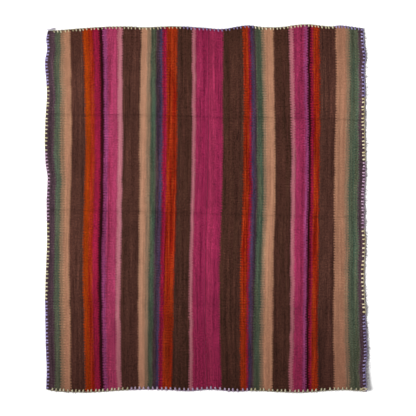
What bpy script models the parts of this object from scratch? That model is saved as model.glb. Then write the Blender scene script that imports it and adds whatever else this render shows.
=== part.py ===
"""Woven wool blanket of two loom panels, laid flat, with a blanket-stitched rim.

The panels lie edge to edge along the centre seam. Yarn edging in three colours runs
round the rim, lifts the cloth a little there, and reaches over it in short legs.
The blanket was stored folded in quarters, so three creases cross it.
"""

import math
from collections import namedtuple

import bmesh
import bpy

MM = 0.001

# Driving sizes in millimetres
CLOTH_THICKNESS = 2.5
RIM_LIFT = 2.5
RIM_FLAT = 15.0
RIM_FALL = 38.0
SEAM_GAP = 0.4
LEG_CLEARANCE = 0.7
LEG_TIP_THICKNESS = 1.2
LEG_TIP_SHARE = 0.36
RUN_GAP = 0.4
CORNER_REACH = 3.6
PANEL_COLUMNS = 12
ROW_SPACING = 62.0

# Lifted bottom right corner
CORNER_LIFT = 16.0
CORNER_ACROSS = 260.0
CORNER_ALONG = 345.0

# Mean heights of the top and bottom edges, and how far their waver reaches inward
TOP_MEAN = 854.0
BOTTOM_MEAN = -855.0
WAVER_REACH = 230.0

# Edging on each side: width of the rope outside the cloth, and reach of a leg over it
Edging = namedtuple("Edging", "rope_width leg_length")

EDGINGS = {
    "left": Edging(3.6, 9.0),
    "right": Edging(4.6, 9.5),
    "top": Edging(3.6, 7.0),
    "bottom": Edging(4.4, 8.5),
}

# Outer edge of the rim: place along the side, and place across it
EdgePoint = namedtuple("EdgePoint", "along across")

LEFT_EDGE = [
    EdgePoint(838, -741),
    EdgePoint(800, -750),
    EdgePoint(746, -746),
    EdgePoint(690, -756),
    EdgePoint(603, -750),
    EdgePoint(528, -747),
    EdgePoint(453, -752),
    EdgePoint(331, -757),
    EdgePoint(209, -753),
    EdgePoint(150, -744),
    EdgePoint(40, -748),
    EdgePoint(-166, -747),
    EdgePoint(-288, -752),
    EdgePoint(-391, -755),
    EdgePoint(-616, -753),
    EdgePoint(-766, -748),
    EdgePoint(-850, -751),
]

RIGHT_EDGE = [
    EdgePoint(847, 739.5),
    EdgePoint(772, 743.5),
    EdgePoint(712, 750.5),
    EdgePoint(655, 744.5),
    EdgePoint(547, 747.5),
    EdgePoint(425, 744.5),
    EdgePoint(284, 748.5),
    EdgePoint(140, 749.5),
    EdgePoint(78, 744.5),
    EdgePoint(-91, 744.5),
    EdgePoint(-140, 749.5),
    EdgePoint(-316, 743.5),
    EdgePoint(-504, 750.5),
    EdgePoint(-682, 757.5),
    EdgePoint(-743, 750.5),
    EdgePoint(-855, 754.5),
]

TOP_EDGE = [
    EdgePoint(-741, 838),
    EdgePoint(-694, 839),
    EdgePoint(-609, 846),
    EdgePoint(-516, 853),
    EdgePoint(-384, 857),
    EdgePoint(-286, 853),
    EdgePoint(-145, 858),
    EdgePoint(-4, 850),
    EdgePoint(75, 845),
    EdgePoint(193, 862),
    EdgePoint(263, 854),
    EdgePoint(348, 854),
    EdgePoint(460, 867),
    EdgePoint(582, 857),
    EdgePoint(629, 861),
    EdgePoint(741, 847),
]

BOTTOM_EDGE = [
    EdgePoint(-750, -846),
    EdgePoint(-700, -856),
    EdgePoint(-553, -861),
    EdgePoint(-384, -851),
    EdgePoint(-286, -848),
    EdgePoint(-159, -851),
    EdgePoint(-75, -855),
    EdgePoint(19, -848),
    EdgePoint(136, -857),
    EdgePoint(230, -854),
    EdgePoint(441, -862),
    EdgePoint(601, -851),
    EdgePoint(657, -849),
    EdgePoint(755, -856),
]

# Centre seam: it drifts to the left in the lower half
SEAM_LINE = [
    EdgePoint(850, 14),
    EdgePoint(480, 13),
    EdgePoint(150, 8),
    EdgePoint(-165, -1),
    EdgePoint(-500, -2),
    EdgePoint(-850, 3),
]

# Creases from top to bottom: height at the centre line, fall of the line per millimetre
# to the right, rise on the left, in the middle and on the right, half width, and
# whether the fold is a valley between two shoulders or a single ridge
Crease = namedtuple("Crease", "name middle slope rise_left rise_mid rise_right half_width valley")

CREASES = [
    Crease("upper", 431, -0.0172, 3.4, 3.0, 3.8, 30, True),
    Crease("centre", -16, -0.0250, 3.6, 4.6, 4.2, 32, True),
    Crease("lower", -450, -0.0281, 4.6, 5.2, 6.2, 46, False),
]

# Runs of edging: side, first and last place along the side, number of stitches,
# lean of the legs along the side, width of a leg at the rim, and yarn
Run = namedtuple("Run", "name side start end stitches lean leg_width yarn")

RUNS = [
    Run("edging_left_1", "left", 838, 581, 17, 0.8, 5.4, "lilac"),
    Run("edging_left_2", "left", 581, 270, 17, -0.6, 5.4, "yellow"),
    Run("edging_left_3", "left", 270, -61, 20, 0.5, 5.4, "mauve"),
    Run("edging_left_4", "left", -61, -427, 20, -0.5, 5.4, "yellow"),
    Run("edging_left_5", "left", -427, -850, 26, 0.8, 5.4, "lilac"),
    Run("edging_right_1", "right", 847, 525, 19, 0.9, 5.4, "lilac"),
    Run("edging_right_2", "right", 525, 223, 17, -0.7, 5.4, "yellow"),
    Run("edging_right_3", "right", 223, -91, 21, 0.6, 5.4, "mauve"),
    Run("edging_right_4", "right", -91, -493, 20, -0.8, 5.4, "yellow"),
    Run("edging_right_5", "right", -493, -855, 24, -3.2, 6.4, "lilac"),
    Run("edging_top_1", "top", -741, -114, 36, 2.6, 4.8, "yellow"),
    Run("edging_top_2", "top", -114, 226, 19, 2.8, 4.8, "lilac"),
    Run("edging_top_3", "top", 226, 601, 23, 2.4, 4.8, "yellow"),
    Run("edging_top_4", "top", 601, 741, 9, 2.6, 4.8, "lilac"),
    Run("edging_bottom_1", "bottom", -750, -361, 21, 1.6, 7.4, "yellow"),
    Run("edging_bottom_2", "bottom", -361, 202, 27, -1.4, 7.0, "lilac"),
    Run("edging_bottom_3", "bottom", 202, 755, 27, 1.2, 7.4, "yellow"),
]

# Rope section: share of the rope's width out from the cloth, and height above the floor
RopePoint = namedtuple("RopePoint", "share height")

ROPE = [
    RopePoint(0.50, 0.0),
    RopePoint(1.00, 2.8),
    RopePoint(0.85, 6.2),
    RopePoint(0.33, 7.5),
    RopePoint(0.16, RIM_LIFT + CLOTH_THICKNESS + LEG_CLEARANCE),
]

COLOURS = {
    "wool_brown": (0.085, 0.034, 0.024),
    "lilac": (0.300, 0.235, 0.420),
    "yellow": (0.480, 0.440, 0.240),
    "mauve": (0.360, 0.215, 0.320),
}


def through(table, along):
    """Smooth curve through a table of edge points, read at a place along the side."""
    points = sorted(table)
    if along <= points[0].along:
        return points[0].across
    if along >= points[-1].along:
        return points[-1].across
    index = 0
    while points[index + 1].along < along:
        index += 1
    low = points[index]
    high = points[index + 1]
    before = points[max(index - 1, 0)]
    after = points[min(index + 2, len(points) - 1)]
    span = high.along - low.along
    slope_low = (high.across - before.across) / (high.along - before.along)
    slope_high = (after.across - low.across) / (after.along - low.along)
    t = (along - low.along) / span
    value = low.across * (2 * t**3 - 3 * t**2 + 1)
    value += slope_low * span * (t**3 - 2 * t**2 + t)
    value += high.across * (3 * t**2 - 2 * t**3)
    value += slope_high * span * (t**3 - t**2)
    return value


def uneven(number, spread):
    """Small repeatable unevenness of hand sewing, between -spread and +spread."""
    wave = math.sin(number * 12.9898) * 43758.5453
    return (wave - math.floor(wave) - 0.5) * 2 * spread


def row_slope(middle):
    """Fall of a row across the blanket, taken between the creases and the edges."""
    table = [EdgePoint(TOP_MEAN, 0.0), EdgePoint(BOTTOM_MEAN, 0.0)]
    table += [EdgePoint(crease.middle, crease.slope) for crease in CREASES]
    return through(table, middle)


def row_height(x, middle):
    """Place of a row across the cloth: straight inside, wavering near the two ends."""
    near_top = max(0.0, 1.0 - (TOP_MEAN - middle) / WAVER_REACH)
    near_bottom = max(0.0, 1.0 - (middle - BOTTOM_MEAN) / WAVER_REACH)
    y = middle + row_slope(middle) * x
    y += near_top * (through(TOP_EDGE, x) - EDGINGS["top"].rope_width - TOP_MEAN)
    y += near_bottom * (through(BOTTOM_EDGE, x) + EDGINGS["bottom"].rope_width - BOTTOM_MEAN)
    return y


def bump(distance, half_width):
    """Soft hump of height 1 that is exactly 0 past its half width."""
    share = abs(distance) / half_width
    if share >= 1.0:
        return 0.0
    return (1.0 - share * share) ** 2


def crease_lift(crease, x, middle):
    """Height that one crease adds to the cloth."""
    across = max(-1.0, min(1.0, x / 750))
    side = crease.rise_right if across > 0 else crease.rise_left
    rise = crease.rise_mid + (side - crease.rise_mid) * abs(across)
    offset = middle - crease.middle
    if crease.valley:
        return rise * bump(abs(offset) - 0.75 * crease.half_width, crease.half_width)
    return rise * bump(offset, crease.half_width)


def underside(x, middle, from_rim):
    """Height of the cloth's underside above the floor."""
    rim = (RIM_FALL - from_rim) / (RIM_FALL - RIM_FLAT)
    lift = RIM_LIFT * max(0.0, min(1.0, rim))
    lift += sum(crease_lift(crease, x, middle) for crease in CREASES)
    across = (750 - x) / CORNER_ACROSS
    along = (middle - BOTTOM_MEAN) / CORNER_ALONG
    corner = max(0.0, 1.0 - math.hypot(across, along))
    return lift + CORNER_LIFT * corner**1.6


def row_list():
    """Places of the rows from the top edge to the bottom edge."""
    rows = [TOP_MEAN, TOP_MEAN - RIM_FLAT, TOP_MEAN - RIM_FALL]
    rows += [BOTTOM_MEAN + RIM_FALL, BOTTOM_MEAN + RIM_FLAT, BOTTOM_MEAN]
    for crease in CREASES:
        if crease.valley:
            steps = [0.0, 0.28, 0.75, 1.2, 1.75]
        else:
            steps = [0.0, 0.28, 0.62, 1.0]
        for step in steps:
            rows.append(crease.middle + step * crease.half_width)
            if step > 0:
                rows.append(crease.middle - step * crease.half_width)
    rows.sort(reverse=True)
    filled = [rows[0]]
    for place in rows[1:]:
        gap = filled[-1] - place
        count = max(1, round(gap / ROW_SPACING))
        start = filled[-1]
        for index in range(1, count + 1):
            filled.append(start - gap * index / count)
    return filled


def cloth_point(side, share, middle):
    """A point on the cloth's underside, from its share of the panel's width."""
    y = middle
    for _ in range(3):
        seam = through(SEAM_LINE, y)
        if side == "left":
            rim = through(LEFT_EDGE, y) + EDGINGS["left"].rope_width
            inner = seam - SEAM_GAP / 2
        else:
            rim = through(RIGHT_EDGE, y) - EDGINGS["right"].rope_width
            inner = seam + SEAM_GAP / 2
        x = rim + (inner - rim) * share
        y = row_height(x, middle)
    from_side = abs(x - rim)
    from_ends = min(TOP_MEAN - middle, middle - BOTTOM_MEAN)
    return x, y, underside(x, middle, min(from_side, from_ends))


def column_shares():
    """Columns as shares of the panel's width, close together at the rim."""
    width = 750.0
    shares = [0.0, RIM_FLAT / width, RIM_FALL / width]
    for index in range(1, PANEL_COLUMNS):
        shares.append(shares[2] + (1.0 - shares[2]) * index / (PANEL_COLUMNS - 1))
    return shares


ROWS = row_list()
SHARES = column_shares()
CLOTH = {
    side: [[cloth_point(side, share, middle) for share in SHARES] for middle in ROWS]
    for side in ("left", "right")
}


def rim_line(side):
    """The cloth's edge on one side of the blanket, as points along that side."""
    if side == "left":
        return [row[0] for row in CLOTH["left"]]
    if side == "right":
        return [row[0] for row in CLOTH["right"]]
    row = 0 if side == "top" else -1
    return CLOTH["left"][row] + CLOTH["right"][row][::-1]


RIMS = {side: rim_line(side) for side in ("left", "right", "top", "bottom")}
AXES = {"left": (1, 0, -1), "right": (1, 0, 1), "top": (0, 1, 1), "bottom": (0, 1, -1)}


def rim_point(side, place):
    """Place across the side and underside height of the cloth's edge."""
    along_axis, across_axis, _ = AXES[side]
    line = sorted(RIMS[side], key=lambda point: point[along_axis])
    place = max(line[0][along_axis], min(line[-1][along_axis], place))
    index = 0
    while index < len(line) - 2 and line[index + 1][along_axis] < place:
        index += 1
    low = line[index]
    high = line[index + 1]
    share = (place - low[along_axis]) / (high[along_axis] - low[along_axis])
    across = low[across_axis] + (high[across_axis] - low[across_axis]) * share
    return across, low[2] + (high[2] - low[2]) * share


def rim_corner(side, place, out, height):
    """A point of the edging: out from the cloth's edge and up from its rest."""
    along_axis, across_axis, outward = AXES[side]
    across, underneath = rim_point(side, place)
    point = [0.0, 0.0, underneath - RIM_LIFT + height]
    point[along_axis] = place
    point[across_axis] = across + outward * out
    return point


def material(name):
    """Matt wool in the given colour."""
    found = bpy.data.materials.get(name)
    if found:
        return found
    made = bpy.data.materials.new(name)
    made.use_nodes = True
    shader = made.node_tree.nodes["Principled BSDF"]
    shader.inputs["Base Color"].default_value = (*COLOURS[name], 1.0)
    shader.inputs["Roughness"].default_value = 0.92
    shader.inputs["Metallic"].default_value = 0.0
    made.diffuse_color = (*COLOURS[name], 1.0)
    return made


def place_mesh(name, bm, colour):
    """Turn a mesh in millimetres into a named object in metres."""
    bmesh.ops.recalc_face_normals(bm, faces=bm.faces)
    bmesh.ops.scale(bm, vec=(MM, MM, MM), verts=bm.verts)
    mesh = bpy.data.meshes.new(name)
    bm.to_mesh(mesh)
    bm.free()
    mesh.materials.append(material(colour))
    mesh.shade_smooth()
    mesh.set_sharp_from_angle(angle=math.radians(50))
    made = bpy.data.objects.new(name, mesh)
    bpy.context.scene.collection.objects.link(made)
    return made


def panel(side):
    """One loom panel: a grid laid over the folds, then given the cloth's thickness."""
    bm = bmesh.new()
    rows = CLOTH[side]
    grid = bmesh.ops.create_grid(
        bm, x_segments=len(SHARES) - 1, y_segments=len(ROWS) - 1, size=1.0
    )
    ordered = sorted(grid["verts"], key=lambda vert: (-round(vert.co.y, 5), vert.co.x))
    for number, vert in enumerate(ordered):
        row, column = divmod(number, len(SHARES))
        if side == "right":
            column = len(SHARES) - 1 - column
        vert.co = rows[row][column]
    raised = bmesh.ops.extrude_face_region(bm, geom=bm.faces[:])
    upper = [item for item in raised["geom"] if isinstance(item, bmesh.types.BMVert)]
    bmesh.ops.translate(bm, vec=(0, 0, CLOTH_THICKNESS), verts=upper)
    return place_mesh("panel_" + side, bm, "wool_brown")


def rope_ring(bm, side, place, swell):
    """The rope's section at one place, a little fuller or leaner by its swell."""
    ring = []
    for number, point in enumerate(ROPE):
        out = point.share * EDGINGS[side].rope_width
        if number in (1, 2):
            out += swell
        ring.append(bm.verts.new(rim_corner(side, place, out, point.height)))
    return ring


def leg_tip(bm, side, places, reach):
    """The leg's far end, where the yarn goes down into the cloth."""
    low = RIM_LIFT + CLOTH_THICKNESS + LEG_CLEARANCE
    tip = []
    for place in places:
        for height in (low + LEG_TIP_THICKNESS, low):
            tip.append(bm.verts.new(rim_corner(side, place, -reach, height)))
    return tip


def add_stitch(bm, side, ring, following, place, run, number, with_leg):
    """One stitch: a length of rope, and the leg that reaches in over the cloth."""
    step = math.copysign(1.0, run.end - run.start)
    wide = place + step * run.leg_width
    width = EDGINGS[side].rope_width
    top = bm.verts.new(rim_corner(side, wide, ROPE[3].share * width, ROPE[3].height))
    low = bm.verts.new(rim_corner(side, wide, ROPE[4].share * width, ROPE[4].height))
    for index in (0, 1):
        bm.faces.new((ring[index], ring[index + 1], following[index + 1], following[index]))
    bm.faces.new((ring[2], ring[3], top))
    bm.faces.new((ring[2], top, following[2]))
    bm.faces.new((following[2], top, following[3]))
    bm.faces.new((top, low, following[4], following[3]))
    bm.faces.new((ring[4], ring[0], low))
    bm.faces.new((ring[0], following[0], low))
    bm.faces.new((following[0], following[4], low))
    if not with_leg:
        bm.faces.new((ring[3], ring[4], low, top))
        return
    lean = run.lean + uneven(number * 3 + 1, 0.9)
    reach = EDGINGS[side].leg_length + uneven(number * 5 + 2, 1.0)
    centre = place + step * run.leg_width / 2 + lean
    half = LEG_TIP_SHARE * run.leg_width
    tip = leg_tip(bm, side, (centre - step * half, centre + step * half), reach)
    base = [ring[3], ring[4], top, low]
    for a, b in ((0, 1), (1, 3), (3, 2), (2, 0)):
        bm.faces.new((base[a], base[b], tip[b], tip[a]))
    bm.faces.new((tip[0], tip[1], tip[3], tip[2]))


def end_places(run):
    """Where a run's rope really starts and stops, beside a corner or the next run."""
    ends = []
    rim = RIMS[run.side]
    along_axis = AXES[run.side][0]
    step = math.copysign(1.0, run.end - run.start)
    corners = (rim[0][along_axis], rim[-1][along_axis])
    for place, corner, inward in ((run.start, corners[0], step), (run.end, corners[1], -step)):
        if abs(place - corner) > 20:
            ends.append(place + inward * RUN_GAP / 2)
        elif run.side in ("left", "right"):
            ends.append(corner - inward * CORNER_REACH)
        else:
            ends.append(corner + inward * 0.1)
    return ends


def edging(run):
    """A run of blanket stitch in one yarn along one side."""
    bm = bmesh.new()
    start, end = end_places(run)
    pitch = (end - start) / run.stitches
    along_axis = AXES[run.side][0]
    corners = [point[along_axis] for point in (RIMS[run.side][0], RIMS[run.side][-1])]
    clear = 6.0 if run.side in ("left", "right") else EDGINGS["right"].leg_length + 7.0
    seed = run.start * 0.37 + len(run.side)
    ring = rope_ring(bm, run.side, start, 0.0)
    bm.faces.new(ring)
    for number in range(run.stitches):
        place = start + number * pitch
        following = rope_ring(bm, run.side, place + pitch, uneven(seed + number, 0.35))
        nearest = min(abs(place - corner) for corner in corners)
        nearest = min(nearest, min(abs(place + pitch - corner) for corner in corners))
        add_stitch(bm, run.side, ring, following, place, run, seed + number, nearest > clear)
        ring = following
    bm.faces.new(ring)
    return place_mesh(run.name, bm, run.yarn)


def main():
    for thing in list(bpy.data.objects):
        bpy.data.objects.remove(thing)
    parts = [panel("left"), panel("right")]
    parts += [edging(run) for run in RUNS]
    corners = [vert.co for part in parts for vert in part.data.vertices]
    middle_x = (min(c.x for c in corners) + max(c.x for c in corners)) / 2
    middle_y = (min(c.y for c in corners) + max(c.y for c in corners)) / 2
    for part in parts:
        for vert in part.data.vertices:
            vert.co.x -= middle_x
            vert.co.y -= middle_y


main()
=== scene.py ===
# %% [markdown]
# # A striped wool blanket laid on a white floor
# The blanket is two loom panels joined down the middle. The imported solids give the
# frame: every piece below lies where they lie, in metres, with the floor at height 0.

# %% Load the frame
import math
import random
from collections import namedtuple
from functools import partial

import bmesh
import bpy
import numpy as np
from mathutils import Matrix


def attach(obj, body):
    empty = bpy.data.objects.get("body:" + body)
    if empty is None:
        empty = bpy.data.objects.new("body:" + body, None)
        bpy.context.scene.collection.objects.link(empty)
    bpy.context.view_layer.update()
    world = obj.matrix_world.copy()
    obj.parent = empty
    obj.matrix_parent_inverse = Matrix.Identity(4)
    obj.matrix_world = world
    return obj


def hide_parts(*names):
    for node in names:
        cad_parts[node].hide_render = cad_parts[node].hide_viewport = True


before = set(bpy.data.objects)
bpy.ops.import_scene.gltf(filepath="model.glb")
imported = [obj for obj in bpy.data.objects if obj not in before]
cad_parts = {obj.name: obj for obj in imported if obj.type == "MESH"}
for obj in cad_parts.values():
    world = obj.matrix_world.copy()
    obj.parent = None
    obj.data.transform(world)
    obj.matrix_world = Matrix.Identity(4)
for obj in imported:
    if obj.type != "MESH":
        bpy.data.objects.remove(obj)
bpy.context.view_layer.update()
print("frame loaded:", len(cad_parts), "nodes")

# %% [markdown]
# ## Sizes
# All sizes are in millimetres until a mesh is placed. The blanket is described as it
# came off the loom: `along` runs down a side, `across` is measured square to it. The
# loom's middle isn't the middle of the outline, so ORIGIN_SHIFT moves every point to
# the frame's origin at the very end.

# %% Sizes
MM = 0.001
HALF_WIDTH = 750.0
TOP_MEAN = 854.0
BOTTOM_MEAN = -855.0
CLOTH_THICKNESS = 2.5
RIM_LIFT = 2.5
RIM_FLAT = 15.0
RIM_FALL = 38.0
SEAM_GAP = 0.4
CORNER_LIFT = 16.0
CORNER_ACROSS = 260.0
CORNER_ALONG = 345.0
CORNER_CURL = 1.6
WAVER_REACH = 230.0
ORIGIN_SHIFT = np.array([0.27, -2.50, 0.0])
ROPE_WIDTH = {"left": 3.6, "right": 4.6, "top": 3.6, "bottom": 4.4}
print("rope widths:", ROPE_WIDTH)

# %% [markdown]
# The outer edge wavers by a few millimetres on every side. Each row of a table is a
# place along the side and where the edge lies there.

# %% Outline of the rim
EdgePoint = namedtuple("EdgePoint", "along across")


def edge(*pairs):
    return [EdgePoint(along, across) for along, across in pairs]


LEFT_EDGE = edge(
    (838, -741), (800, -750), (746, -746), (690, -756), (603, -750), (528, -747),
    (453, -752), (331, -757), (209, -753), (150, -744), (40, -748), (-166, -747),
    (-288, -752), (-391, -755), (-616, -753), (-766, -748), (-850, -751),
)
RIGHT_EDGE = edge(
    (847, 739.5), (772, 743.5), (712, 750.5), (655, 744.5), (547, 747.5), (425, 744.5),
    (284, 748.5), (140, 749.5), (78, 744.5), (-91, 744.5), (-140, 749.5), (-316, 743.5),
    (-504, 750.5), (-682, 757.5), (-743, 750.5), (-855, 754.5),
)
TOP_EDGE = edge(
    (-741, 838), (-694, 839), (-609, 846), (-516, 853), (-384, 857), (-286, 853),
    (-145, 858), (-4, 850), (75, 845), (193, 862), (263, 854), (348, 854),
    (460, 867), (582, 857), (629, 861), (741, 847),
)
BOTTOM_EDGE = edge(
    (-750, -846), (-700, -856), (-553, -861), (-384, -851), (-286, -848),
    (-159, -851), (-75, -855), (19, -848), (136, -857), (230, -854), (441, -862),
    (601, -851), (657, -849), (755, -856),
)
SEAM_LINE = edge((850, 14), (480, 13), (150, 8), (-165, -1), (-500, -2), (-850, 3))
print("outline tables:", len(LEFT_EDGE), len(RIGHT_EDGE), len(TOP_EDGE), len(BOTTOM_EDGE))

# %% [markdown]
# The blanket was stored folded in quarters, which left three creases. The upper two
# are valleys between low shoulders and the lower one is a ridge. A few fainter marks
# lie between them.

# %% Creases
Crease = namedtuple("Crease", "name middle slope rise_left rise_mid rise_right half_width valley")
CREASES = [
    Crease("upper", 431, -0.0172, 3.4, 3.0, 3.8, 30, True),
    Crease("centre", -16, -0.0250, 3.6, 4.6, 4.2, 32, True),
    Crease("lower", -450, -0.0281, 4.6, 5.2, 6.2, 46, False),
]
MARK_LEAN = 0.02
MARK_FADE = 60.0
Mark = namedtuple("Mark", "middle first last rise half_width")
FAINT_MARKS = [
    Mark(692, 150, 750, 0.9, 10),
    Mark(129, 60, 750, 1.0, 9),
    Mark(87, 240, 750, 0.9, 9),
    Mark(-128, -750, 250, 0.8, 10),
    Mark(-363, -300, 750, 0.9, 10),
]
print("creases:", [crease.name for crease in CREASES], "marks:", len(FAINT_MARKS))

# %% [markdown]
# The warp doesn't run perfectly straight. A guide follows one stripe's edge: its place
# on the loom, and how far the stripe strays to the right at seven heights.

# %% Guides of the warp
GUIDE_HEIGHTS = (856, 603, 322, 40, -241, -522, -855)
Guide = namedtuple("Guide", "place strays")
GUIDES = {
    "left": [
        Guide(-637, (-2, 1, 4, -1, -7, 0, 1)),
        Guide(-574, (-8, 1, 6, 0, -6, 0, 5)),
        Guide(-500, (-2, 4, 5, 2, -6, -3, 4)),
        Guide(-397, (6, 4, 6, 2, -2, -6, -1)),
        Guide(-317, (10, 4, 0, 0, -4, -5, -3)),
        Guide(-214, (8, 6, 6, 2, -4, -9, -13)),
        Guide(-143, (9, 8, 8, 4, -4, -11, -17)),
        Guide(-75, (6, 6, 6, 1, -7, -7, -8)),
    ],
    "right": [
        Guide(71, (8, 6, 6, 1, -9, -9, 0)),
        Guide(167, (2, 8, 7, 3, -8, -10, -8)),
        Guide(230, (-3, 3, 5, 8, -1, -10, -11)),
        Guide(317, (-3, 0, 6, 6, -3, -5, -8)),
        Guide(393, (-7, -1, 5, 3, 1, 0, -7)),
        Guide(472, (2, 2, 6, 3, -1, -5, -5)),
        Guide(600, (3, 8, 3, -2, -2, -6, -4)),
        Guide(669, (1, 5, 1, -4, -1, -3, 5)),
    ],
}
LOOM_RIM = {
    "left": ROPE_WIDTH["left"] - HALF_WIDTH,
    "right": HALF_WIDTH - ROPE_WIDTH["right"],
}
LOOM_SEAM = 6.0
print("guides:", {side: len(rows) for side, rows in GUIDES.items()})

# %% [markdown]
# ## The laid surface
# A cloth simulation could drop the blanket, but its creases would fall by chance and
# the photograph fixes where they lie. So the surface is written as functions. The
# first reads any table as a smooth curve that passes through each of its points.

# %% Smooth reading of a table


def through(table, along):
    """Smooth curve through a table of edge points, for one place or an array."""
    points = sorted(table)
    a = np.array([point.along for point in points], float)
    c = np.array([point.across for point in points], float)
    slope = np.empty_like(c)
    slope[1:-1] = (c[2:] - c[:-2]) / (a[2:] - a[:-2])
    slope[0] = (c[1] - c[0]) / (a[1] - a[0])
    slope[-1] = (c[-1] - c[-2]) / (a[-1] - a[-2])
    place = np.clip(np.asarray(along, float), a[0], a[-1])
    low = np.clip(np.searchsorted(a, place, side="right") - 1, 0, len(a) - 2)
    span = a[low + 1] - a[low]
    t = (place - a[low]) / span
    value = c[low] * (2 * t**3 - 3 * t**2 + 1)
    value += slope[low] * span * (t**3 - 2 * t**2 + t)
    value += c[low + 1] * (3 * t**2 - 2 * t**3)
    value += slope[low + 1] * span * (t**3 - t**2)
    return value


def bump(distance, half_width):
    """Soft hump of height 1 that is 0 past its half width."""
    share = np.minimum(np.abs(distance) / half_width, 1.0)
    return (1.0 - share * share) ** 2


print("left edge at the middle:", round(float(through(LEFT_EDGE, 0.0)), 1), "mm")

# %% [markdown]
# A point of the loom is given by its place across, `loom`, and the middle of its row,
# `middle`. Rows tilt a little and follow the wavering ends, and the warp strays, so
# each depends on the other: three rounds are enough for both to settle.

# %% Place of a loom point on the floor


def row_slope(middle):
    table = edge((TOP_MEAN, 0.0), (BOTTOM_MEAN, 0.0))
    table += [EdgePoint(crease.middle, crease.slope) for crease in CREASES]
    return through(table, middle)


def row_height(x, middle):
    near_top = np.maximum(0.0, 1.0 - (TOP_MEAN - middle) / WAVER_REACH)
    near_bottom = np.maximum(0.0, 1.0 - (middle - BOTTOM_MEAN) / WAVER_REACH)
    y = middle + row_slope(middle) * x
    y = y + near_top * (through(TOP_EDGE, x) - ROPE_WIDTH["top"] - TOP_MEAN)
    edge_below = through(BOTTOM_EDGE, x) + ROPE_WIDTH["bottom"]
    return y + near_bottom * (edge_below - BOTTOM_MEAN)


def strays(side, y):
    """Guide places and strays of one panel, from its rim to the seam."""
    if side == "left":
        rim = through(LEFT_EDGE, y) + HALF_WIDTH
        seam = through(SEAM_LINE, y) - SEAM_GAP / 2 - LOOM_SEAM
    else:
        rim = through(RIGHT_EDGE, y) - HALF_WIDTH
        seam = through(SEAM_LINE, y) + SEAM_GAP / 2 - LOOM_SEAM
    rows = [(LOOM_RIM[side], rim)]
    for guide in GUIDES[side]:
        rows.append((guide.place, through(edge(*zip(GUIDE_HEIGHTS, guide.strays)), y)))
    rows.append((LOOM_SEAM, seam))
    return sorted(rows, key=lambda row: row[0])


def lay(side, loom, middle):
    """Floor position of loom places, both given as arrays of the same shape."""
    y = middle.copy()
    for _ in range(3):
        rows = strays(side, y)
        x = loom.copy()
        for (place_a, stray_a), (place_b, stray_b) in zip(rows[:-1], rows[1:]):
            inside = (loom >= place_a - 1e-6) & (loom <= place_b + 1e-6)
            share = (loom - place_a) / (place_b - place_a)
            x = np.where(inside, loom + stray_a + (stray_b - stray_a) * share, x)
        y = row_height(x, middle)
    return x, y


print("upper left corner:", [
    round(float(place[0]), 1)
    for place in lay("left", np.array([LOOM_RIM["left"]]), np.array([TOP_MEAN]))
])

# %% [markdown]
# The cloth rests flat on the floor between its creases. Small handling ripples, one
# soft upright fold on the right and a pucker on the left are added here, because
# they are too slight for the solids.

# %% Height of the cloth above the floor
VALLEY_HALF_WIDTH = 12.0
RIDGE_HALF_WIDTH = 14.0
RIPPLE_HEIGHT = 0.28
Ripple = namedtuple("Ripple", "across along phase size")
RIPPLES = [
    Ripple(0.021, 0.006, 0.4, 1.0),
    Ripple(0.008, 0.019, 1.9, 1.0),
    Ripple(0.034, -0.011, 3.1, 0.6),
    Ripple(-0.013, 0.043, 5.0, 0.7),
    Ripple(0.052, 0.027, 2.2, 0.4),
]
Pucker = namedtuple("Pucker", "x y lean half_width half_length rise")
PUCKERS = [
    Pucker(243.04, 462, 0.02, 17, 135, 3.2),
    Pucker(-276, 385, 0.0, 12, 60, 2.4),
]


def crease_lift(crease, x, middle):
    across = np.clip(x / HALF_WIDTH, -1.0, 1.0)
    side = np.where(across > 0, crease.rise_right, crease.rise_left)
    rise = crease.rise_mid + (side - crease.rise_mid) * np.abs(across)
    offset = middle - crease.middle
    if crease.valley:
        lift = rise * bump(np.abs(offset) - 0.75 * crease.half_width, crease.half_width)
        return lift * (1.0 - 0.5 * bump(offset, VALLEY_HALF_WIDTH))
    ridge = bump(offset, RIDGE_HALF_WIDTH)
    return rise * (0.88 * bump(offset, crease.half_width) + 0.12 * ridge)


def ripples(x, y):
    """Gentle unevenness of wool after handling, from 0 to about a millimetre."""
    total = 0.0
    for wave in RIPPLES:
        total = total + wave.size * np.sin(x * wave.across + y * wave.along + wave.phase)
    return RIPPLE_HEIGHT * np.maximum(0.0, total)


def raised_corner(x, middle):
    across = (HALF_WIDTH - x) / CORNER_ACROSS
    along = (middle - BOTTOM_MEAN) / CORNER_ALONG
    return CORNER_LIFT * np.maximum(0.0, 1.0 - np.hypot(across, along)) ** CORNER_CURL


def slight_lift(x, y, middle):
    """What handling left in the cloth: ripples, faint marks and two puckers."""
    lift = ripples(x, y)
    for mark in FAINT_MARKS:
        begins = np.clip((x - mark.first) / MARK_FADE, 0, 1)
        span = begins * np.clip((mark.last - x) / MARK_FADE, 0, 1)
        offset = middle + MARK_LEAN * x - mark.middle
        lift = lift + span * mark.rise * bump(offset, mark.half_width)
    for pucker in PUCKERS:
        offset = x - pucker.x - pucker.lean * (y - pucker.y)
        ridge = bump(offset, pucker.half_width) * bump(y - pucker.y, pucker.half_length)
        lift = lift + pucker.rise * ridge
    return lift


def underside(x, y, middle, from_rim):
    """Height of the cloth's lower face, which rests on the edging along the rim."""
    rim = np.clip((RIM_FALL - from_rim) / (RIM_FALL - RIM_FLAT), 0.0, 1.0)
    lift = RIM_LIFT * rim * rim * (3 - 2 * rim)
    lift = lift + sum(crease_lift(crease, x, middle) for crease in CREASES)
    lift = lift + raised_corner(x, middle)
    return lift + (1.0 - rim) * slight_lift(x, y, middle)


print("ripples:", len(RIPPLES), "puckers:", len(PUCKERS))
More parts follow.
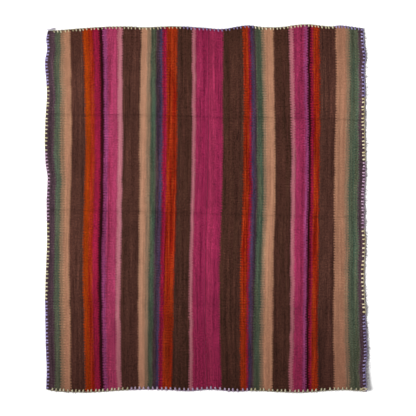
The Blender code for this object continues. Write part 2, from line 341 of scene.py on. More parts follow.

# %% [markdown]
# ## Colours
# Each dye is given as it looks in soft daylight, with a companion shade for
# the odd yarns that streak it. The loom table lists where each stripe begins.

# %% Dyes
Dye = namedtuple("Dye", "main streak")
DYES = {
    "plum": Dye((78, 58, 68), (86, 64, 72)),
    "plum_deep": Dye((58, 41, 56), (75, 54, 58)),
    "indigo": Dye((80, 56, 78), (65, 52, 82)),
    "green": Dye((80, 92, 76), (90, 94, 74)),
    "green_deep": Dye((66, 83, 68), (76, 82, 64)),
    "olive_tan": Dye((140, 112, 89), (150, 116, 90)),
    "olive": Dye((132, 108, 88), (140, 114, 90)),
    "tan": Dye((170, 120, 95), (180, 132, 102)),
    "tan_pale": Dye((172, 126, 100), (182, 134, 106)),
    "tan_deep": Dye((158, 112, 88), (168, 120, 94)),
    "brown_light": Dye((86, 53, 44), (78, 47, 38)),
    "brown": Dye((80, 49, 40), (74, 45, 37)),
    "brown_deep": Dye((74, 43, 35), (68, 42, 32)),
    "orange": Dye((162, 62, 8), (156, 52, 10)),
    "rust": Dye((164, 53, 27), (140, 27, 13)),
    "orange_red": Dye((131, 24, 9), (155, 51, 18)),
    "crimson": Dye((150, 28, 62), (142, 26, 54)),
    "crimson_deep": Dye((134, 20, 50), (140, 23, 52)),
    "maroon_black": Dye((46, 8, 14), (52, 10, 18)),
    "violet": Dye((136, 56, 100), (144, 64, 110)),
    "pink": Dye((152, 44, 79), (168, 61, 97)),
    "pink_light": Dye((170, 62, 98), (160, 54, 90)),
    "pink_deep": Dye((152, 46, 84), (146, 44, 80)),
    "pink_dark": Dye((132, 36, 70), (140, 40, 74)),
    "pale_pink": Dye((188, 116, 128), (178, 106, 116)),
    "pale_rose": Dye((166, 96, 106), (174, 104, 114)),
    "magenta": Dye((153, 43, 81), (137, 35, 70)),
    "magenta_dark": Dye((132, 28, 66), (138, 34, 70)),
    "raspberry": Dye((160, 47, 83), (141, 38, 72)),
}
EXPOSURE = 0.80
print("dyes:", len(DYES))

# %% From a seen colour to the wool's own


def linear(colour, scale=EXPOSURE):
    """A colour seen in daylight, as the wool's own linear reflectance."""
    values = []
    for part in colour:
        part = part / 255
        part = part / 12.92 if part <= 0.04045 else ((part + 0.055) / 1.055) ** 2.4
        values.append(min(1.0, part * scale))
    return (*values, 1.0)


print("magenta:", [round(part, 3) for part in linear(DYES["magenta"].main)])

# %% Stripes, from left to right on the loom
Stripe = namedtuple("Stripe", "start dye")


def stripes(*pairs):
    return [Stripe(start, dye) for start, dye in pairs]


STRIPES = {
    "left": stripes(
        (-745, "plum"), (-708.5, "green"), (-684, "olive_tan"), (-666, "tan"),
        (-637, "brown_light"), (-571.5, "orange"), (-549, "rust"), (-528, "crimson"),
        (-501, "maroon_black"), (-484, "violet"), (-467, "pink"), (-446, "pink_light"),
        (-417.5, "pale_pink"), (-399, "brown"), (-313.5, "tan_pale"), (-283.5, "olive"),
        (-267, "green_deep"), (-241.5, "plum_deep"), (-225, "indigo"),
        (-210.5, "crimson_deep"), (-191.5, "orange_red"), (-145.5, "brown_deep"),
        (-71.5, "pale_rose"), (-56.5, "magenta"), (-26, "magenta_dark"), (-13, "magenta"),
    ),
    "right": stripes(
        (6, "raspberry"), (36, "magenta"), (45, "magenta_dark"), (52, "magenta"),
        (71, "brown_deep"), (170.5, "orange_red"), (198, "crimson_deep"), (206.5, "indigo"),
        (222, "plum_deep"), (232, "green_deep"), (263, "olive"), (275.5, "tan"),
        (317.5, "brown_deep"), (393.5, "pale_rose"), (413, "pink_deep"), (440, "pink_dark"),
        (448, "pink_deep"), (459, "violet"), (472, "maroon_black"), (486.5, "crimson_deep"),
        (499, "orange_red"), (527, "brown"), (602, "tan_deep"), (651, "olive"),
        (669, "green"), (685, "green_deep"), (697, "green"), (714.5, "plum"),
    ),
}
print("stripes:", {side: len(rows) for side, rows in STRIPES.items()})

# %% Dyes of the yarns
YARNS = {
    "lilac": Dye((196, 184, 236), (166, 150, 208)),
    "yellow": Dye((238, 230, 196), (214, 204, 160)),
    "yellow_warm": Dye((236, 224, 190), (213, 195, 150)),
    "mauve": Dye((214, 182, 206), (186, 150, 182)),
    "lilac_grey": Dye((206, 182, 206), (178, 154, 186)),
    "lilac_white": Dye((236, 230, 240), (214, 206, 222)),
}
SEAM_YARN = Dye((140, 39, 73), (128, 32, 65))
HAIR = Dye((128, 112, 122), (150, 134, 140))
# Dark colour mixed into the edging yarns: dirt, and painted shade.
GRIME_AND_SHADE = (60, 46, 52)
print("yarns:", list(YARNS))

# %% [markdown]
# ## Materials
# A photograph of wool could be wrapped round the cloth, but nodes stay sharp at any
# distance and let each yarn differ. Three node groups are shared: the first makes the
# warp-faced weave, the second streaks and ages a dye and paints shade and light on it,
# the third gives yarn its fibres.

# %% Helpers for node trees


def node(tree, kind, **settings):
    made = tree.nodes.new(kind)
    for key, value in settings.items():
        setattr(made, key, value)
    return made


def fill(tree, socket, value):
    """Give an input a link or a plain value."""
    if isinstance(value, bpy.types.NodeSocket):
        tree.links.new(value, socket)
    elif value is not None:
        socket.default_value = value


def math_node(tree, operation, first, second=None):
    made = node(tree, "ShaderNodeMath", operation=operation)
    fill(tree, made.inputs[0], first)
    fill(tree, made.inputs[1], second)
    return made.outputs[0]


def product(tree, factors):
    level = factors[0]
    for factor in factors[1:]:
        level = math_node(tree, "MULTIPLY", level, factor)
    return level


def split(tree, vector):
    """The x and y of a vector."""
    parts = node(tree, "ShaderNodeSeparateXYZ")
    tree.links.new(vector, parts.inputs[0])
    return parts.outputs[0], parts.outputs[1]


def scaled(tree, vector, across, along):
    made = node(tree, "ShaderNodeVectorMath", operation="MULTIPLY")
    tree.links.new(vector, made.inputs[0])
    made.inputs[1].default_value = (across, along, 1)
    return made.outputs[0]


def noise(tree, vector, scale=1.0, detail=2.0, roughness=0.5):
    made = node(tree, "ShaderNodeTexNoise", noise_dimensions="3D")
    tree.links.new(vector, made.inputs["Vector"])
    made.inputs["Scale"].default_value = scale
    made.inputs["Detail"].default_value = detail
    made.inputs["Roughness"].default_value = roughness
    return made.outputs[0]


def ranged(tree, value, low, high, to_low=0.0, to_high=1.0):
    made = node(tree, "ShaderNodeMapRange")
    tree.links.new(value, made.inputs["Value"])
    made.inputs["From Min"].default_value = low
    made.inputs["From Max"].default_value = high
    made.inputs["To Min"].default_value = to_low
    made.inputs["To Max"].default_value = to_high
    return made.outputs[0]


def swung(tree, value, low, high):
    """A noise's usual range, mapped from low to high."""
    return ranged(tree, value, 0.3, 0.7, low, high)


def mix_colour(tree, factor, first, second, blend="MIX"):
    made = node(tree, "ShaderNodeMix", data_type="RGBA", blend_type=blend)
    for index, value in ((0, factor), (6, first), (7, second)):
        fill(tree, made.inputs[index], value)
    return made.outputs[2]


def dimmed(tree, colour, level):
    """A colour multiplied by a brightness."""
    grey = node(tree, "ShaderNodeCombineColor")
    for socket in grey.inputs:
        tree.links.new(level, socket)
    return mix_colour(tree, 1.0, colour, grey.outputs[0], "MULTIPLY")


def group(name, inputs, outputs):
    tree = bpy.data.node_groups.new(name, "ShaderNodeTree")
    for label, kind in inputs:
        tree.interface.new_socket(label, in_out="INPUT", socket_type="NodeSocket" + kind)
    for label, kind in outputs:
        tree.interface.new_socket(label, in_out="OUTPUT", socket_type="NodeSocket" + kind)
    source = tree.nodes.new("NodeGroupInput").outputs
    return tree, source, tree.nodes.new("NodeGroupOutput").inputs


print("node helpers ready")

# %% [markdown]
# The weave: warp yarns lie side by side, each a chain of short floats that is half a
# step off its neighbour. Width and length of a float are inputs, in metres. `Centre`
# is the middle of the yarn, and `Tooth` changes sign at every shot of the weft. The
# weaver's beat was uneven, so the shots lie closer in some places than in others.

# %% Weave group
WARP_PITCH = 1.5
FLOAT_LENGTH = 12.0
SWAY = 0.5
UNEVEN_BEAT = 0.22
UNEVEN_FLOAT = 0.22
# Added to the count of shots, so that it never falls below 0.
FAR_BELOW = 1000.0


def weave_group():
    tree, source, result = group(
        "warp_weave",
        [("Place", "Vector"), ("Pitch", "Float"), ("Float Length", "Float")],
        [(label, "Float") for label in ("Height", "Yarn", "Shade", "Centre", "Tooth")],
    )
    calc = partial(math_node, tree)
    x, y = split(tree, source["Place"])
    # Across the loom: the yarn's number and the place within it.
    waver = noise(tree, scaled(tree, source["Place"], 40, 90))
    sway = calc("MULTIPLY", swung(tree, waver, -1, 1), SWAY * MM)
    across = calc("DIVIDE", calc("ADD", x, sway), source["Pitch"])
    number = calc("FLOOR", across)
    side = calc("SUBTRACT", calc("MULTIPLY", calc("FRACT", across), 2.0), 1.0)
    pick = node(tree, "ShaderNodeTexWhiteNoise", noise_dimensions="1D")
    tree.links.new(number, pick.inputs["W"])
    # Along the loom: the shots, and how far a float has run.
    beat = noise(tree, scaled(tree, source["Place"], 5, 16))
    shots = calc("DIVIDE", y, source["Float Length"])
    shots = calc("ADD", shots, swung(tree, beat, -UNEVEN_BEAT, UNEVEN_BEAT))
    odd = calc("MULTIPLY", calc("MODULO", number, 2.0), 0.5)
    down = calc("ADD", calc("ADD", shots, odd), FAR_BELOW)
    jog = calc("MULTIPLY", pick.outputs["Value"], UNEVEN_FLOAT)
    turn = calc("FRACT", calc("ADD", down, jog))
    # A float is round across and arched along.
    crown = calc("SUBTRACT", 1.0, calc("POWER", calc("ABSOLUTE", side), 2.2))
    arch = calc("SINE", calc("MULTIPLY", turn, math.pi))
    arch = calc("POWER", calc("ABSOLUTE", arch), 0.45)
    height = calc("MULTIPLY", crown, arch)
    shot = calc("FLOOR", calc("MULTIPLY", calc("ADD", shots, FAR_BELOW), 2.0))
    tooth = calc("MULTIPLY", calc("MODULO", shot, 2.0), 2.0)
    made = {
        "Height": height,
        "Yarn": pick.outputs["Value"],
        "Shade": ranged(tree, height, 0.0, 0.75, 0.62, 1.06),
        "Centre": calc("MULTIPLY", calc("ADD", number, 0.5), source["Pitch"]),
        "Tooth": calc("SUBTRACT", tooth, 1.0),
    }
    for label, socket in made.items():
        tree.links.new(socket, result[label])
    return tree


WEAVE = weave_group()
print("weave group:", len(WEAVE.nodes), "nodes")

# %% [markdown]
# Handspun wool is uneven at every scale, from lint finer than a yarn to broad patches.
# Each row is one kind: how often it changes per metre across and along the warp, how
# ragged it is, and how far it lightens and darkens the wool.

# %% Unevenness of the wool
Uneven = namedtuple("Uneven", "across along detail roughness swing")
UNEVEN = {
    "slub": Uneven(240, 22, 2.0, 0.60, 0.10),
    "strand": Uneven(75, 2.4, 3.0, 0.65, 0.29),
    "broad": Uneven(3.2, 3.2, 4.0, 0.55, 0.07),
    "patch": Uneven(34, 14, 3.0, 0.60, 0.12),
    "nap": Uneven(120, 100, 3.0, 0.75, 0.30),
    "lint": Uneven(230, 250, 2.0, 0.70, 0.40),
}


def uneven_noises(tree, place):
    """One noise for each kind of unevenness."""
    made = {}
    for name, kind in UNEVEN.items():
        stretched = scaled(tree, place, kind.across, kind.along)
        made[name] = noise(tree, stretched, detail=kind.detail, roughness=kind.roughness)
    return made


def wool_texture(tree, source, noises):
    """Brightness from the wool's own unevenness."""
    calc = partial(math_node, tree)
    shares = [ranged(tree, source["Yarn"], 0, 1, 0.94, 1.06)]
    for name, kind in UNEVEN.items():
        shares.append(swung(tree, noises[name], 1.0 - kind.swing, 1.0 + kind.swing))
    shot = calc("MULTIPLY", source["Tooth"], ranged(tree, noises["patch"], 0.45, 0.65, 0.0, 0.085))
    shares.append(calc("ADD", 1.0, shot))
    # Coarse dark wool is more uneven than the finer pale wool.
    pale = node(tree, "ShaderNodeRGBToBW")
    tree.links.new(source["Main"], pale.inputs[0])
    contrast = ranged(tree, pale.outputs[0], 0.02, 0.16, 1.5, 0.6)
    excess = calc("MULTIPLY", calc("SUBTRACT", product(tree, shares), 1.0), contrast)
    return calc("ADD", excess, 1.0)


print("kinds of unevenness:", list(UNEVEN))

# %% [markdown]
# Age changes the blanket's colour from end to end, and painted shade and light change
# its brightness: darker below the middle and most at the low end, a little lighter in
# the upper part. A zone's row says where along the loom it starts and ends, in metres,
# and what it is worth there. A fold line is a narrow stripe of painted shade on a crease.

# %% Streaks, ends and painted shade
Zone = namedtuple("Zone", "start end at_start at_end")
ZONES = {
    "top_end": Zone(0.60, 0.80, 0.0, 1.0),
    "low_end": Zone(-0.34, -0.80, 0.0, 1.0),
    # Painted shade: the low end grows darker, most at its lower corners.
    "low_end_shade": Zone(-0.42, -0.855, 0.0, 1.0),
    # Painted light: the upper part is a little brighter.
    "upper_light": Zone(0.30, 0.56, 1.0, 1.06),
    # Painted shade: the cloth dims below the middle.
    "dim": Zone(-0.20, -0.42, 1.0, 0.93),
}
# End tints: redder, and darker with painted shade.
TOP_TINT_AND_SHADE = (0.91, 0.885, 0.885, 1.0)
LOW_TINT_AND_SHADE = (0.94, 0.87, 0.89, 1.0)
DUST = (0.42, 0.34, 0.30, 1.0)
RIM_SHADE_WIDTH = 11.0
# Painted shade along each crease: a narrow darker stripe.
FoldLine = namedtuple("FoldLine", "middle width depth")
FOLD_LINES = [
    FoldLine(432, 9, 0.20),
    FoldLine(-21, 11, 0.12),
    FoldLine(-453, 11, 0.08),
]


def streaked(tree, source, zones):
    """A dye with its companion in long streaks, redder at both ends, where painted shade also
    darkens it.
    """
    calc = partial(math_node, tree)
    streaks = noise(tree, scaled(tree, source["Place"], 150, 3.5), detail=3.0, roughness=0.6)
    streaks = calc("ADD", streaks, calc("MULTIPLY", source["Tooth"], 0.025))
    ends = calc("MULTIPLY", calc("MAXIMUM", zones["top_end"], zones["low_end"]), 0.45)
    worn = calc("ADD", ranged(tree, streaks, 0.43, 0.59), ends)
    colour = mix_colour(tree, worn, source["Main"], source["Streak"])
    colour = mix_colour(tree, zones["top_end"], colour, TOP_TINT_AND_SHADE, "MULTIPLY")
    return mix_colour(tree, zones["low_end"], colour, LOW_TINT_AND_SHADE, "MULTIPLY")


def painted_shading(tree, source, x, y, zones, broad):
    """Painted shade and light: darker at the low end and its corners, along the rim and at the
    fold lines, lighter in the upper part.
    """
    calc = partial(math_node, tree)
    # Painted shade at the low end, deepest at the lower corners.
    corner = ranged(tree, calc("MULTIPLY", x, x), 0.0, 0.55, 0.13, 0.22)
    low_end_shading = calc("SUBTRACT", 1.0, calc("MULTIPLY", zones["low_end_shade"], corner))
    # Painted shade of the stitches, a darker band along the rim.
    rim = ranged(tree, source["From Rim"], 0.0, RIM_SHADE_WIDTH * MM, 0.75, 1.0)
    shares = [low_end_shading, zones["upper_light"], zones["dim"], rim]
    wander = swung(tree, broad, -0.004, 0.004)
    # Painted shade at each fold line.
    for fold in FOLD_LINES:
        offset = calc("SUBTRACT", y, fold.middle * MM)
        offset = calc("ABSOLUTE", calc("ADD", offset, wander))
        shares.append(ranged(tree, offset, 0.0, fold.width * MM, 1.0 - fold.depth, 1.0))
    return product(tree, shares)


print("zones:", list(ZONES), "fold lines:", len(FOLD_LINES))

# %% [markdown]
# The ageing and shading group puts these together: a dye streaked with its companion,
# then the wool's unevenness and the weave's shade, then the painted shade and light and a
# little dust.

# %% Ageing and shading group


def age_and_shade_group():
    inputs = [("Main", "Color"), ("Streak", "Color"), ("Place", "Vector")]
    inputs += [(label, "Float") for label in ("Yarn", "Shade", "Tooth", "From Rim")]
    outputs = [("Color", "Color"), ("Roughness", "Float")]
    tree, source, result = group("wool_age_and_shade", inputs, outputs)
    x, y = split(tree, source["Place"])
    noises = uneven_noises(tree, source["Place"])
    zones = {name: ranged(tree, y, *zone) for name, zone in ZONES.items()}
    texture = wool_texture(tree, source, noises)
    shade_level = painted_shading(tree, source, x, y, zones, noises["broad"])
    colour = streaked(tree, source, zones)
    colour = dimmed(tree, colour, product(tree, [texture, source["Shade"], shade_level]))
    dusty = math_node(tree, "MULTIPLY", ranged(tree, noises["lint"], 0.55, 0.8), 0.003)
    tree.links.new(mix_colour(tree, dusty, colour, DUST), result["Color"])
    tree.links.new(swung(tree, noises["nap"], 0.88, 0.98), result["Roughness"])
    return tree


AGE_AND_SHADE = age_and_shade_group()
print("age group:", len(AGE_AND_SHADE.nodes), "nodes")

# %% [markdown]
# The yarn group is for the edging: blotches where the dye took unevenly, and a hairy
# surface. The twist needs no nodes, because the plies are modelled.

# %% Yarn group


def yarn_group():
    tree, source, result = group(
        "plied_yarn",
        [("Main", "Color"), ("Streak", "Color"), ("Place", "Vector")],
        [("Color", "Color"), ("Roughness", "Float"), ("Height", "Float")],
    )
    blotch = noise(tree, source["Place"], 46.0)
    hair = noise(tree, source["Place"], 900.0, 3.0, 0.7)
    share = ranged(tree, blotch, 0.42, 0.62)
    colour = mix_colour(tree, share, source["Main"], source["Streak"])
    colour = dimmed(tree, colour, swung(tree, hair, 0.8, 1.15))
    tree.links.new(colour, result["Color"])
    tree.links.new(swung(tree, hair, 0.88, 0.98), result["Roughness"])
    tree.links.new(hair, result["Height"])
    return tree


YARN = yarn_group()
print("yarn group:", len(YARN.nodes), "nodes")

# %% [markdown]
# A panel's material reads its stripes from a colour ramp laid across the loom, because
# a ramp is a list of stripes and can be read beside the real cloth. Each yarn has one
# place on the ramp. A border steps over by two yarns each way from shot to shot of
# the weft and drifts slowly, so that no stripe has a ruled edge.

# %% Reading the stripes
TOOTH_DEPTH = 3.0
BORDER_DRIFT = 2.8


def ramp(tree, side, which, place):
    made = node(tree, "ShaderNodeValToRGB")
    made.color_ramp.interpolation = "CONSTANT"
    first, last = sorted((LOOM_RIM[side], LOOM_SEAM))
    for index, stripe in enumerate(STRIPES[side]):
        share = max(0.0, (stripe.start - first) / (last - first))
        if index == 0:
            stop = made.color_ramp.elements[0]
            stop.position = 0.0
        elif index == 1:
            stop = made.color_ramp.elements[1]
            stop.position = share
        else:
            stop = made.color_ramp.elements.new(share)
        stop.color = linear(getattr(DYES[stripe.dye], which))
    tree.links.new(place, made.inputs[0])
    return made.outputs[0]


def use_group(tree, shared, **links):
    made = node(tree, "ShaderNodeGroup", node_tree=shared)
    for key, value in links.items():
        fill(tree, made.inputs[key.replace("_", " ")], value)
    return made.outputs


def stripe_share(tree, side, weave, place):
    """A yarn's place on the ramp, from 0 to 1 across the panel."""
    drift = noise(tree, scaled(tree, place, 6, 14), detail=3.0, roughness=0.6)
    tooth = math_node(tree, "MULTIPLY", weave["Tooth"], TOOTH_DEPTH * MM)
    across = math_node(tree, "ADD", weave["Centre"], tooth)
    drift = swung(tree, drift, -BORDER_DRIFT * MM, BORDER_DRIFT * MM)
    first, last = sorted((LOOM_RIM[side] * MM, LOOM_SEAM * MM))
    return ranged(tree, math_node(tree, "ADD", across, drift), first, last)


def rim_distance(tree, side, place):
    """How far a place is from the panel's rim, in metres."""
    calc = partial(math_node, tree)
    x, y = split(tree, place)
    across = calc("ABSOLUTE", calc("SUBTRACT", x, LOOM_RIM[side] * MM))
    top = calc("SUBTRACT", TOP_MEAN * MM, y)
    bottom = calc("SUBTRACT", y, BOTTOM_MEAN * MM)
    return calc("MINIMUM", across, calc("MINIMUM", top, bottom))


print("node groups:", [shared.name for shared in (WEAVE, AGE_AND_SHADE, YARN)])

# %% Cloth material


def wool_material(name):
    """A matt material with hardly any gloss, as wool has."""
    made = bpy.data.materials.new(name)
    made.use_nodes = True
    shader = made.node_tree.nodes["Principled BSDF"]
    shader.inputs["Metallic"].default_value = 0.0
    shader.inputs["Specular IOR Level"].default_value = 0.03
    shader.inputs["Sheen Weight"].default_value = 0.01
    shader.inputs["Sheen Roughness"].default_value = 0.6
    return made, made.node_tree, shader.inputs


def dress(tree, shader, wool, height, strength, depth):
    """Give a shader its colour, roughness and relief; the depth is in millimetres."""
    tree.links.new(wool["Color"], shader["Base Color"])
    tree.links.new(wool["Roughness"], shader["Roughness"])
    relief = node(tree, "ShaderNodeBump")
    relief.inputs["Strength"].default_value = strength
    relief.inputs["Distance"].default_value = depth * MM
    tree.links.new(height, relief.inputs["Height"])
    tree.links.new(relief.outputs[0], shader["Normal"])


def cloth_material(side):
    made, tree, shader = wool_material("striped_wool_" + side)
    uv = node(tree, "ShaderNodeUVMap", uv_map="loom").outputs[0]
    weave = use_group(tree, WEAVE, Place=uv, Pitch=WARP_PITCH * MM, Float_Length=FLOAT_LENGTH * MM)
    share = stripe_share(tree, side, weave, uv)
    aged = use_group(
        tree, AGE_AND_SHADE,
        Main=ramp(tree, side, "main", share), Streak=ramp(tree, side, "streak", share),
        Place=uv, Yarn=weave["Yarn"], Shade=weave["Shade"], Tooth=weave["Tooth"],
        From_Rim=rim_distance(tree, side, uv),
    )
    dress(tree, shader, aged, weave["Height"], strength=0.55, depth=0.6)
    return made


CLOTH_MATERIALS = {side: cloth_material(side) for side in ("left", "right")}
print("cloth materials:", [made.name for made in CLOTH_MATERIALS.values()])

# %% [markdown]
# A yarn's dirt and painted shade are mixed into its dye. A rope lies outermost and has
# picked up more dirt than the legs, and its colour also holds painted shade, as if the rim
# shaded it. `left` is the share of clean colour that is left.

# %% Yarn materials


def soiled_and_shaded(colour, left):
    """A yarn's colour when only part of it is left under dirt and painted shade."""
    clean = np.array(linear(colour))
    grime = np.array(linear(GRIME_AND_SHADE))
    return tuple(clean * left + grime * (1.0 - left))


def yarn_material(name, dye, left=1.0):
    made, tree, shader = wool_material(name)
    place = node(tree, "ShaderNodeTexCoord").outputs["Object"]
    main, streak = soiled_and_shaded(dye.main, left), soiled_and_shaded(dye.streak, left)
    yarn = use_group(tree, YARN, Main=main, Streak=streak, Place=place)
    dress(tree, shader, yarn, yarn["Height"], strength=0.5, depth=0.5)
    return made


SEAM_MATERIAL = yarn_material("yarn_seam", SEAM_YARN)
HAIR_MATERIAL = yarn_material("wool_hair", HAIR)
print("materials:", sorted(material.name for material in bpy.data.materials if material.users))

# %% [markdown]
# ## The two panels
# Each panel is a grid laid over the surface, with close lines at the rim and at each
# crease and wide ones in the flat cloth, and a Solidify modifier gives it the cloth's
# thickness downward. The grid also carries the loom's own places as its UV map, so
# that the weave follows the warp wherever it strays.

# %% Grid lines
COARSE = 8.5


def spaced(marks, fine, near):
    """Grid lines that draw close together near each mark."""
    first, last = min(marks), max(marks)
    lines = [first]
    while lines[-1] < last:
        distance = min(abs(lines[-1] - mark) for mark in marks)
        share = min(1.0, distance / near)
        lines.append(lines[-1] + fine + (COARSE - fine) * share)
    lines = np.array(lines)
    return first + (lines - first) * (last - first) / (lines[-1] - first)


ROW_MARKS = [TOP_MEAN, BOTTOM_MEAN] + [crease.middle for crease in CREASES]
ROW_LINES = spaced(ROW_MARKS, fine=2.6, near=45)
COLUMN_LINES = {
    side: spaced([LOOM_RIM[side], LOOM_SEAM], fine=3.2, near=60) for side in ("left", "right")
}
print("rows:", len(ROW_LINES), "columns:", {s: len(c) for s, c in COLUMN_LINES.items()})

# %% Panel sheets


def placed(name, data):
    """A new object in the scene."""
    made = bpy.data.objects.new(name, data)
    bpy.context.scene.collection.objects.link(made)
    return made


def surface(side):
    """Floor positions of a panel's grid, with the height of its upper face."""
    loom, middle = np.meshgrid(COLUMN_LINES[side], ROW_LINES)
    x, y = lay(side, loom, middle)
    from_side = np.abs(loom - LOOM_RIM[side])
    from_ends = np.minimum(TOP_MEAN - middle, middle - BOTTOM_MEAN)
    z = underside(x, y, middle, np.minimum(from_side, from_ends))
    return loom, middle, x, y, z


def panel(side):
    loom, middle, x, y, z = surface(side)
    rows, columns = loom.shape
    bm = bmesh.new()
    bmesh.ops.create_grid(bm, x_segments=columns - 1, y_segments=rows - 1, size=1.0)
    mesh = bpy.data.meshes.new("blanket_" + side)
    bm.to_mesh(mesh)
    bm.free()
    flat = np.empty(rows * columns * 3)
    mesh.vertices.foreach_get("co", flat)
    flat = flat.reshape(-1, 3)
    row = np.rint((flat[:, 1] + 1) / 2 * (rows - 1)).astype(int)
    column = np.rint((flat[:, 0] + 1) / 2 * (columns - 1)).astype(int)
    points = np.stack([x, y, z + CLOTH_THICKNESS], axis=-1)[row, column]
    mesh.vertices.foreach_set("co", ((points + ORIGIN_SHIFT) * MM).ravel())
    loops = np.empty(len(mesh.loops), dtype=int)
    mesh.loops.foreach_get("vertex_index", loops)
    uv = np.stack([loom, middle], axis=-1)[row, column][loops] * MM
    mesh.uv_layers.new(name="loom").data.foreach_set("uv", uv.ravel())
    sheet = placed("blanket_" + side, mesh)
    thick = sheet.modifiers.new("thickness", "SOLIDIFY")
    thick.thickness = CLOTH_THICKNESS * MM
    thick.offset = -1.0
    return sheet


def settled(thing):
    """Replace an object by the plain mesh that it shows."""
    depsgraph = bpy.context.evaluated_depsgraph_get()
    mesh = bpy.data.meshes.new_from_object(thing.evaluated_get(depsgraph), depsgraph=depsgraph)
    name = thing.name
    mesh.name = name
    mesh.shade_smooth()
    bpy.data.objects.remove(thing)
    return placed(name, mesh)


def triangles(thing):
    thing.data.calc_loop_triangles()
    return len(thing.data.loop_triangles)


print("grid of the left panel:", surface("left")[0].shape)

# %% Both panels
for side in ("left", "right"):
    sheet = settled(panel(side))
    sheet.data.materials.clear()
    sheet.data.materials.append(CLOTH_MATERIALS[side])
    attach(sheet, "root")
    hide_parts("panel_" + side)
    print(sheet.name, triangles(sheet), "triangles")

# %% [markdown]
# ## The edging
# Every run of one colour is a rope of two plies along the rim with a leg at each
# stitch. A leg comes up through the cloth, lies over it to the rim, dips under the
# rope and returns below. One modelled stitch could be repeated, but no two sewn
# stitches are alike, so each is drawn along the rim with its own small errors. First
# the rim itself is read as a line.

# %% Rim lines


def rim_line(side):
    """The cloth's edge: columns are place along, place across and underside height."""
    if side in ("left", "right"):
        middle = ROW_LINES
        loom = np.full_like(middle, LOOM_RIM[side])
        x, y = lay(side, loom, middle)
        line = np.stack([y, x, underside(x, y, middle, 0.0 * x)], axis=-1)
        return line[np.argsort(line[:, 0])]
    halves = []
    for half in ("left", "right"):
        loom = COLUMN_LINES[half]
        middle = np.full_like(loom, TOP_MEAN if side == "top" else BOTTOM_MEAN)
        x, y = lay(half, loom, middle)
        halves.append(np.stack([x, y, underside(x, y, middle, 0.0 * x)], axis=-1))
    line = np.concatenate(halves)
    return line[np.argsort(line[:, 0])]


RIMS = {side: rim_line(side) for side in ("left", "right", "top", "bottom")}
OUTWARD = {"left": -1, "right": 1, "top": 1, "bottom": -1}


def rim_points(side, along, out, height):
    """Points beside the rim, from arrays of place along, distance out and height."""
    line = RIMS[side]
    across = np.interp(along, line[:, 0], line[:, 1]) + OUTWARD[side] * out
    base = np.interp(along, line[:, 0], line[:, 2]) - RIM_LIFT
    order = [across, along] if side in ("left", "right") else [along, across]
    return np.stack(order + [base + height], axis=-1)


print("rim lines:", {side: len(line) for side, line in RIMS.items()})

# %% [markdown]
# The runs of colour: side, first and last place, number of stitches, lean of the legs
# along the side, how far a leg lies on the cloth, its thickness, and the yarn. The
# last two columns are the share of clean colour left on the legs and on the rope;
# the rest is dirt and painted shade, and the rope, which has picked up more dirt,
# also holds painted shade of the rim.

# %% Runs
Run = namedtuple("Run", "name side start end stitches lean reach plump yarn leg rope")
RUNS = [
    Run("left_1", "left", 838, 581, 17, 0.8, 10.2, 1.12, "lilac", 0.92, 0.50),
    Run("left_2", "left", 581, 270, 17, -0.6, 10.2, 1.08, "yellow", 0.92, 0.42),
    Run("left_3", "left", 270, -61, 20, 0.5, 10.2, 1.1, "mauve", 1.00, 0.48),
    Run("left_4", "left", -61, -427, 20, -0.5, 10.2, 1.08, "yellow", 0.92, 0.42),
    Run("left_5", "left", -427, -850, 26, 0.8, 10.2, 1.08, "lilac", 0.90, 0.50),
    Run("right_1", "right", 847, 525, 19, 0.9, 10.2, 1.1, "lilac", 0.72, 0.54),
    Run("right_2", "right", 525, 223, 17, -0.7, 10.2, 1.18, "yellow_warm", 1.00, 0.56),
    Run("right_3", "right", 223, -91, 21, 0.6, 10.2, 1.1, "mauve", 0.90, 0.54),
    Run("right_4", "right", -91, -493, 20, -0.8, 10.2, 1.2, "yellow_warm", 1.00, 0.58),
    Run("right_5", "right", -493, -855, 24, -3.5, 12.0, 1.2, "lilac", 0.50, 0.44),
    Run("top_1", "top", -741, -114, 36, 2.2, 9.2, 0.92, "yellow", 0.84, 0.26),
    Run("top_2", "top", -114, 226, 19, 2.4, 9.2, 0.88, "lilac", 0.62, 0.24),
    Run("top_3", "top", 226, 601, 23, 2.0, 9.2, 0.95, "yellow", 0.90, 0.26),
    Run("top_4", "top", 601, 741, 9, 2.2, 9.2, 0.90, "lilac", 0.72, 0.34),
    Run("bottom_1", "bottom", -750, -361, 21, 1.6, 10.2, 1.22, "yellow", 0.62, 0.26),
    Run("bottom_2", "bottom", -361, 202, 27, -1.4, 10.4, 1.4, "lilac_grey", 0.70, 0.52),
    Run("bottom_3", "bottom", 202, 755, 27, 1.2, 10.2, 1.22, "yellow", 0.58, 0.28),
]
print("stitches:", sum(run.stitches for run in RUNS))

# %% [markdown]
# Two plies wind round each path. Each is a round curve, so the pair shows the twist
# of real yarn, which a bump on one thick tube wouldn't. `spread` is how far the plies
# lie from the path sideways, `squash` how far above and below it, and `turn` the
# length of one twist.

# %% Plied yarn
STEEP = 0.25


def travelled(points):
    """How far each point lies along the line through them."""
    lengths = np.linalg.norm(np.diff(points, axis=0), axis=1)
    return np.concatenate([[0.0], np.cumsum(lengths)])


def smooth_path(points, step):
    """Even steps along a soft line through the given points."""
    points = np.asarray(points, float)
    place = travelled(points)
    count = max(3, int(place[-1] / step))
    at = np.linspace(0.0, place[-1], count + 1)
    columns = []
    for index in range(points.shape[1]):
        columns.append(through(edge(*zip(place, points[:, index])), at))
    return np.stack(columns, axis=-1), at


